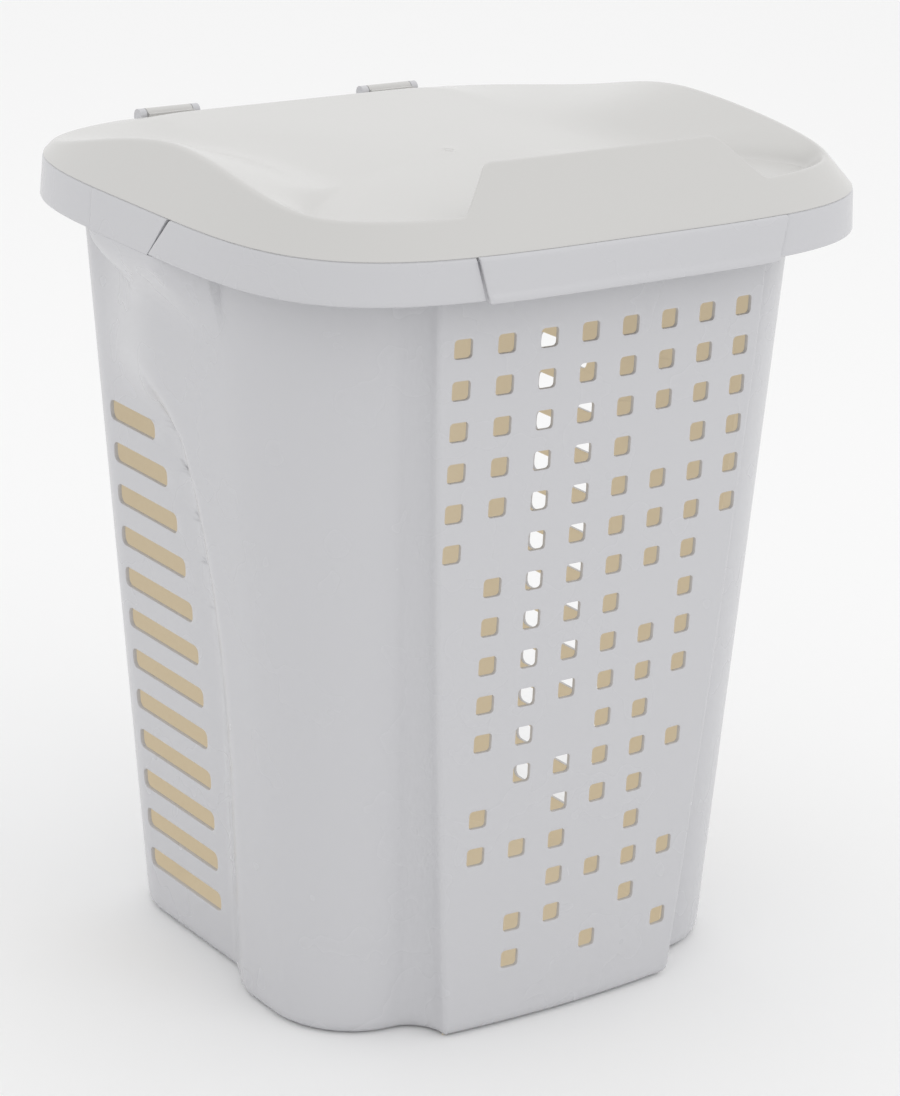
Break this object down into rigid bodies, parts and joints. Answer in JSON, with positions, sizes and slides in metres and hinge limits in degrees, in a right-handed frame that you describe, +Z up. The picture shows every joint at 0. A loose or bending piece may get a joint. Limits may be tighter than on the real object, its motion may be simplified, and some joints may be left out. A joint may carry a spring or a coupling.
{
  "type": "laundry hamper with lid",
  "caption": "Drafted plastic laundry hamper with a perforated front, slotted sides, overhanging rim and a dished lid on two rear hinges.",
  "frame": {"origin": "on the floor, under the middle of the hamper's bounding box", "axes": "+X to the hamper's right as seen from the front, +Y towards the hinge at the back, +Z up"},
  "size_m": [0.456, 0.3992, 0.5603],
  "materials": {
    "body_plastic": "moulded polypropylene, soft gloss, cool white",
    "lid_plastic": "moulded polypropylene, soft gloss, warm white",
    "pin_plastic": "moulded nylon, satin"
  },
  "bodies": {
    "tub_body": {"tub": "body_plastic", "rim_collar": "body_plastic", "front_rim_band": "body_plastic", "hinge_bracket_left": "body_plastic", "hinge_bracket_right": "body_plastic", "hinge_pin_left": "pin_plastic", "hinge_pin_right": "pin_plastic"},
    "lid_body": {"lid": "lid_plastic", "lid_knuckle_left": "lid_plastic", "lid_knuckle_right": "lid_plastic"}
  },
  "joints": [
    {"name": "lid_hinge", "type": "hinge", "parent": "tub_body", "child": "lid_body", "pos_m": [0, 0.1951, 0.5185], "axis": [-1, 0, 0], "range_deg": [0, 105]}
  ]
}
